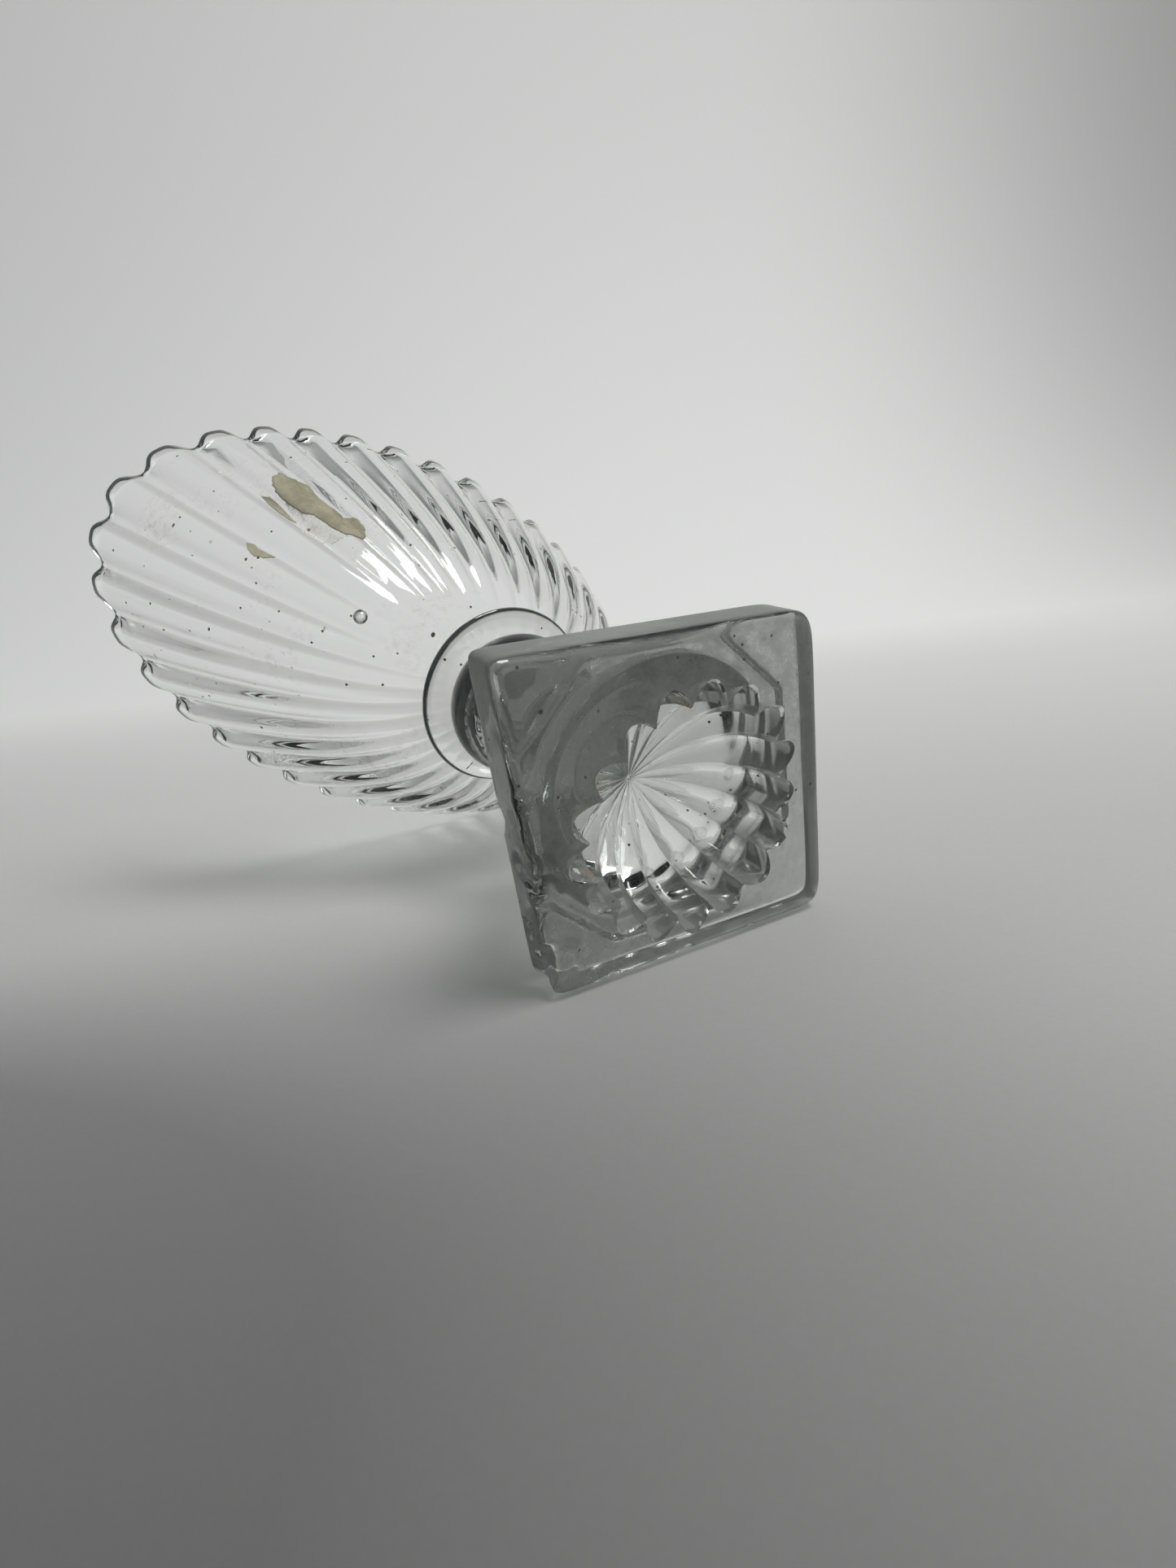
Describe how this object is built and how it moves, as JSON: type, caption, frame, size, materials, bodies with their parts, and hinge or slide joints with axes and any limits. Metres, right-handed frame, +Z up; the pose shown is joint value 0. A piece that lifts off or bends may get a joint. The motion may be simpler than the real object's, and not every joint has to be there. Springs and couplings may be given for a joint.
{
  "type": "footed glass salt cellar",
  "caption": "Oval, boat-shaped ribbed glass bowl on a collar, a knop and a lozenge foot with a fluted hollow underneath; it holds salt at the table.",
  "frame": {"origin": "middle of the foot's underside, on the surface that the salt stands on", "axes": "+Z up the stem to the bowl, X along the long diagonal of the lozenge foot, Y along its short diagonal; the bowl's long axis is turned 10.7 degrees from +X towards -Y"},
  "size_m": [0.0989, 0.061, 0.0838],
  "materials": {
    "blown_glass": "fire-polished lead glass, clear with a faint grey tint",
    "pressed_glass": "pressed lead glass, clear and greyer, scuffed on the underside",
    "aged_paper": "torn, greyed label paper"
  },
  "bodies": {
    "root": {"bowl": "blown_glass", "collar": "blown_glass", "stem_knop": "pressed_glass", "pressed_foot": "pressed_glass", "label_scrap_large": "aged_paper", "label_scrap_sliver": "aged_paper", "label_scrap_small": "aged_paper"}
  },
  "joints": []
}
